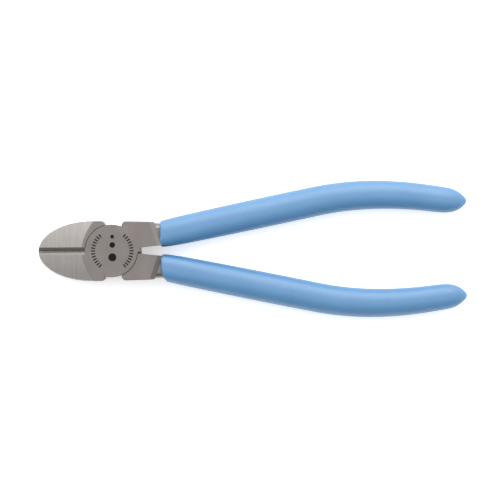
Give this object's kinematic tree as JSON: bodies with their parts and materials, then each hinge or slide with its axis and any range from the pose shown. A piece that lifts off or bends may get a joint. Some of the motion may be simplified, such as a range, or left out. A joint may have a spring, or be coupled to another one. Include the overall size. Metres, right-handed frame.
{
  "type": "diagonal cutting pliers",
  "caption": "Diagonal cutting pliers with a flat lap joint, a rounded head with bevelled cutting edges and slim bowed handles in dip-moulded plastic grips.",
  "frame": {"origin": "on the hinge axis, in the plane of the joint's back face, which the closed pliers lie on", "axes": "+X from the joint to the handles, +Y to the upper handle, +Z out of the front face"},
  "size_m": [0.16, 0.0512, 0.01],
  "materials": {
    "forged_steel": "fine ground, satin",
    "rivet_steel": "ground flush with the joint",
    "grip_plastic": "satin, fine grain"
  },
  "bodies": {
    "front": {"front_half": "forged_steel", "pivot_rivet": "rivet_steel", "front_grip": "grip_plastic"},
    "back": {"back_half": "forged_steel", "back_grip": "grip_plastic"}
  },
  "joints": [
    {"name": "joint_hinge", "type": "hinge", "parent": "front", "child": "back", "pos_m": [0, 0, 0.005], "axis": [0, 0, -1], "range_deg": [0, 33]}
  ]
}
